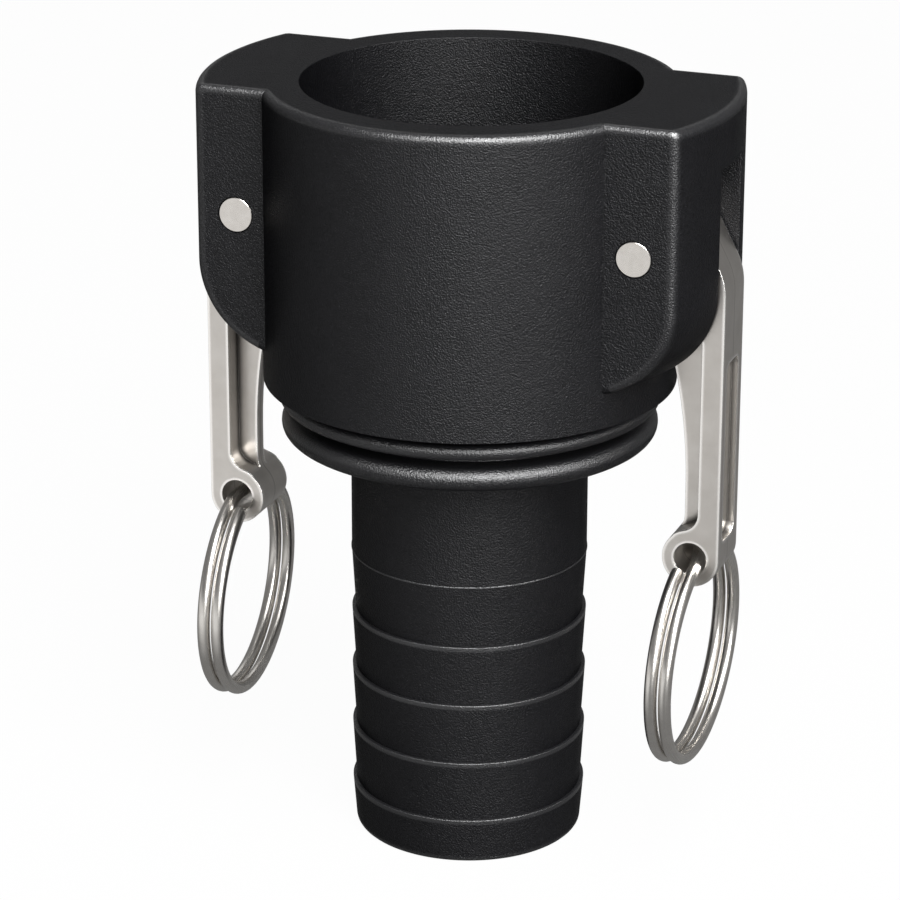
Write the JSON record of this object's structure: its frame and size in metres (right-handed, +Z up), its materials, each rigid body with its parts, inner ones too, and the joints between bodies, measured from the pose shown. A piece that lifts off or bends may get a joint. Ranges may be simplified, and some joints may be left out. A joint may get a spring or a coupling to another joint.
{
  "type": "cam and groove coupling",
  "caption": "Cam and groove hose coupling: black socket with ears, barbed hose shank, and hinged stainless cam arms with finger rings.",
  "frame": {"origin": "middle of the hose shank's end face", "axes": "+Z up along the coupling's axis to the socket's rim, the arms hang at -X (left) and +X (right), the pivot pins run along Y"},
  "size_m": [0.0884, 0.0672, 0.128],
  "materials": {
    "moulded_plastic": "fine moulded grain",
    "gasket_rubber": "smooth moulded rubber",
    "pin_steel": "turned and faced",
    "cast_steel": "fine cast, satin tumbled",
    "ring_wire": "drawn, polished"
  },
  "bodies": {
    "coupler": {"coupler_body": "moulded_plastic", "gasket": "gasket_rubber", "left_pin": "pin_steel", "right_pin": "pin_steel"},
    "left_arm": {"left_cam_arm": "cast_steel"},
    "right_arm": {"right_cam_arm": "cast_steel"},
    "left_ring": {"left_finger_ring": "ring_wire"},
    "right_ring": {"right_finger_ring": "ring_wire"}
  },
  "joints": [
    {"name": "left_arm_pivot", "type": "hinge", "parent": "coupler", "child": "left_arm", "pos_m": [-0.0331, 0, 0.10725], "axis": [0, 1, 0], "range_deg": [0, 90]},
    {"name": "right_arm_pivot", "type": "hinge", "parent": "coupler", "child": "right_arm", "pos_m": [0.0331, 0, 0.10725], "axis": [0, -1, 0], "range_deg": [0, 90]},
    {"name": "left_ring_swing", "type": "hinge", "parent": "left_arm", "child": "left_ring", "pos_m": [-0.0395, 0, 0.054], "axis": [0, 1, 0], "range_deg": [-30, 145]},
    {"name": "right_ring_swing", "type": "hinge", "parent": "right_arm", "child": "right_ring", "pos_m": [0.0395, 0, 0.054], "axis": [0, -1, 0], "range_deg": [-25, 150]}
  ]
}
